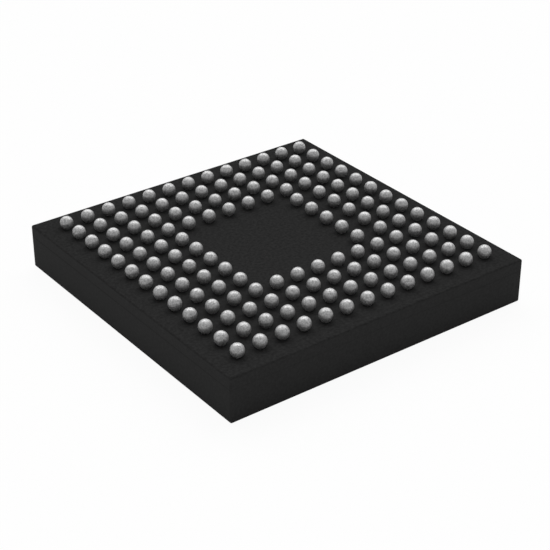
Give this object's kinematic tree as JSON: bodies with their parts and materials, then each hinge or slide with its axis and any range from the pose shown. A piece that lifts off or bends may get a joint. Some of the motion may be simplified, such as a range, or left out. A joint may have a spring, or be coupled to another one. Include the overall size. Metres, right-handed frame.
{
  "type": "display driver chip",
  "caption": "Square thin black chip package, ball side up, with rings of solder balls round a bare middle; soldered to a circuit board to drive a display.",
  "frame": {"origin": "centre of the flat marking face, on the surface that the chip lies on", "axes": "+Z out of the ball side; X and Y along the sides of the body, with the first ball's corner at -X -Y"},
  "size_m": [0.007, 0.007, 0.0012],
  "materials": {
    "mould_compound": "matt moulded epoxy",
    "solder_mask": "matt cured ink",
    "laminate": "sawn glass-resin laminate",
    "adhesive_film": "cured film",
    "silicon": "polished wafer",
    "copper": "plated and etched",
    "gold": "drawn wire",
    "solder": "matt reflowed solder"
  },
  "bodies": {
    "root": {"mould_cap": "mould_compound", "silicon_die": "silicon", "die_attach_film": "adhesive_film", "solder_mask_die_side": "solder_mask", "substrate_core": "laminate", "copper_vias": "copper", "solder_mask_ball_side": "solder_mask", "bond_wires_back": "gold", "finger_copper_back": "copper", "ball_lands_back": "copper", "bond_wires_left": "gold", "finger_copper_left": "copper", "ball_lands_left": "copper", "bond_wires_front": "gold", "finger_copper_front": "copper", "ball_lands_front": "copper", "bond_wires_right": "gold", "finger_copper_right": "copper", "ball_lands_right": "copper", "solder_balls_row_a": "solder", "solder_balls_row_b": "solder", "solder_balls_row_c": "solder", "solder_balls_row_d": "solder", "solder_balls_row_e": "solder", "solder_balls_row_f": "solder", "solder_balls_row_g": "solder", "solder_balls_row_h": "solder", "solder_balls_row_j": "solder", "solder_balls_row_k": "solder", "solder_balls_row_l": "solder", "solder_balls_row_m": "solder", "solder_balls_row_n": "solder"}
  },
  "joints": []
}
